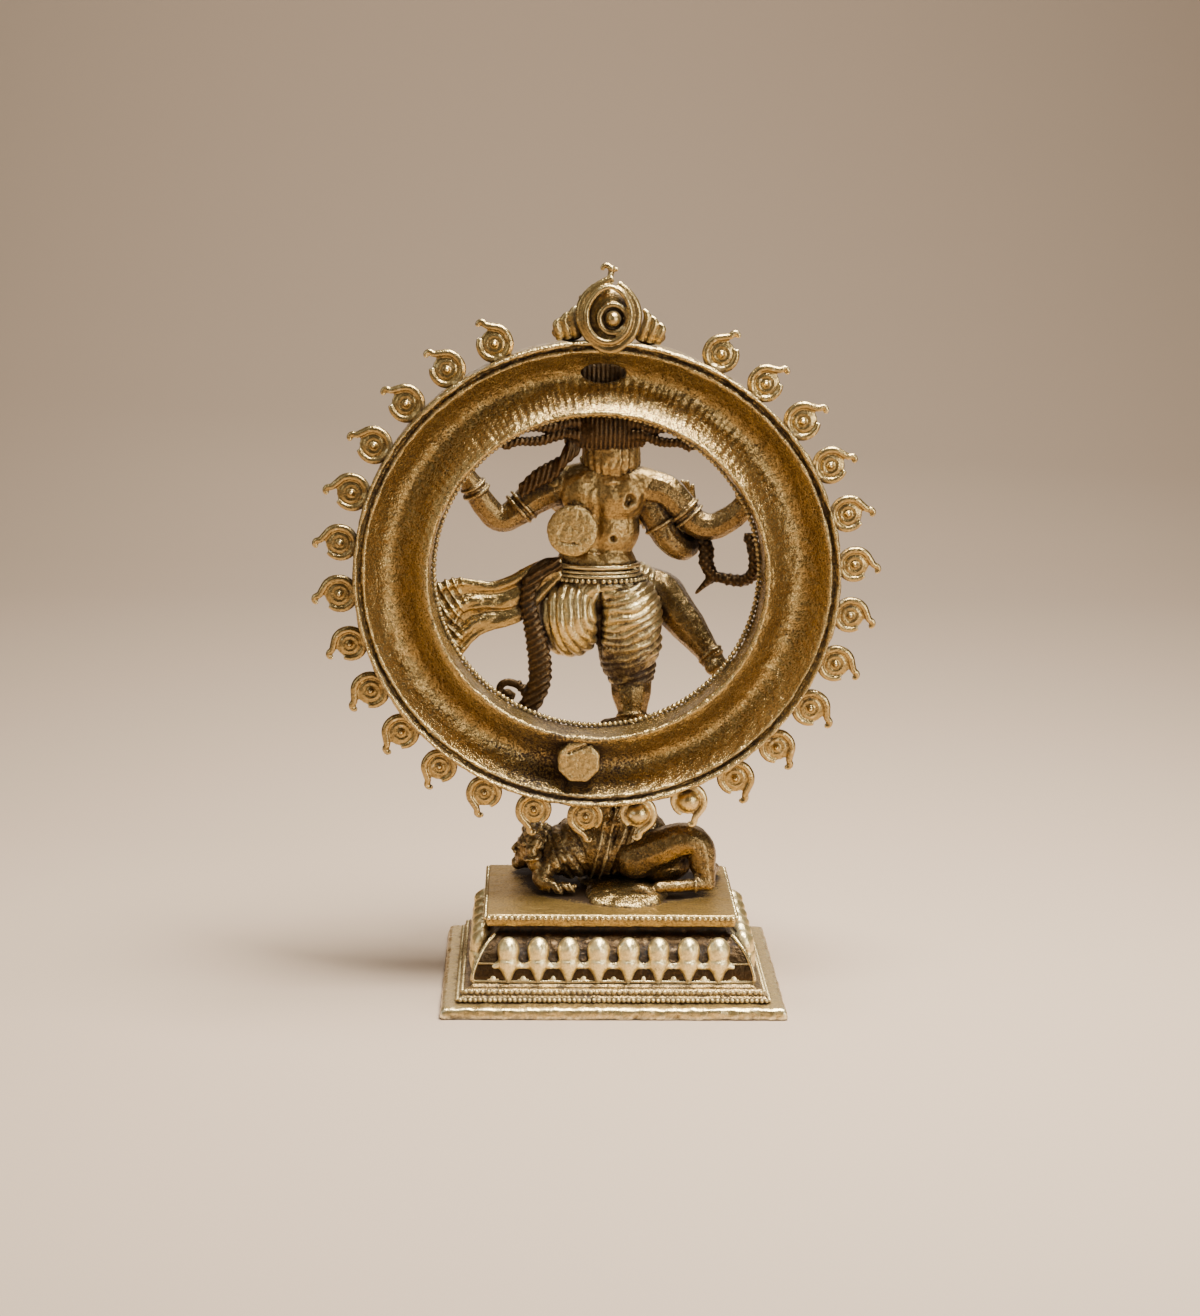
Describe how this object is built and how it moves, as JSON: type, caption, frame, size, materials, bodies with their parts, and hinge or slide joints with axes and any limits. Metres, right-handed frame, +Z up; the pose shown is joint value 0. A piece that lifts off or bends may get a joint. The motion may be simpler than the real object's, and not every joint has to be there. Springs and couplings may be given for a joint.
{
  "type": "cast brass dancing figure in a ring of fire",
  "caption": "Cast-brass Nataraja statue: a many-armed dancer on a dwarf inside a ring of flames, on a stepped lotus pedestal, for a table or shelf.",
  "frame": {"origin": "middle of the overall box, on the surface that the pedestal stands on", "axes": "+Z up; the dancer faces -Y and the open back of the ring faces +Y; +X is the dancer's left"},
  "size_m": [0.1153, 0.055, 0.15],
  "materials": {
    "brass_cast": "rough-cast antique brass, brown patina in the recesses",
    "brass_bright": "antique brass rubbed bright on the high points",
    "brass_dark": "antique brass under dark brown patina"
  },
  "bodies": {
    "root": {"pedestal_plinth": "brass_cast", "pedestal_bead_step": "brass_cast", "pedestal_lotus_cushion": "brass_bright", "pedestal_top_slab": "brass_cast", "ground_mound": "brass_cast", "ring_peg": "brass_bright", "dwarf_torso": "brass_dark", "dwarf_head": "brass_dark", "dwarf_bent_leg": "brass_dark", "dwarf_flat_leg": "brass_dark", "lotus_support": "brass_dark", "dancer_torso": "brass_cast", "dancer_loincloth": "brass_bright", "dancer_standing_leg": "brass_cast", "dancer_raised_leg": "brass_cast", "dancer_head": "brass_dark", "dancer_hair_crown": "brass_dark", "back_boss": "brass_cast", "dancer_rear_left_arm": "brass_cast", "dancer_rear_right_arm": "brass_cast", "dancer_front_right_arm": "brass_cast", "dancer_front_left_arm": "brass_cast", "drum": "brass_cast", "fire_bowl": "brass_cast", "hanging_scarf": "brass_dark", "flying_sash": "brass_cast", "cobra": "brass_dark", "hair_fan": "brass_dark", "fire_ring": "brass_cast", "crest_roundel": "brass_bright", "crest_finial": "brass_bright", "crest_ear_left": "brass_bright", "crest_ear_right": "brass_bright", "flame_01": "brass_bright", "flame_02": "brass_bright", "flame_03": "brass_bright", "flame_04": "brass_bright", "flame_05": "brass_bright", "flame_06": "brass_bright", "flame_07": "brass_bright", "flame_08": "brass_bright", "flame_09": "brass_bright", "flame_10": "brass_bright", "flame_11": "brass_bright", "flame_12": "brass_bright", "flame_13": "brass_bright", "flame_14": "brass_bright", "flame_15": "brass_bright", "flame_16": "brass_bright", "flame_17": "brass_bright", "flame_18": "brass_bright", "flame_19": "brass_bright", "flame_20": "brass_bright", "flame_21": "brass_bright", "flame_22": "brass_bright", "flame_23": "brass_bright", "flame_24": "brass_bright", "flame_25": "brass_bright", "flame_26": "brass_bright", "flame_27": "brass_bright"}
  },
  "joints": []
}
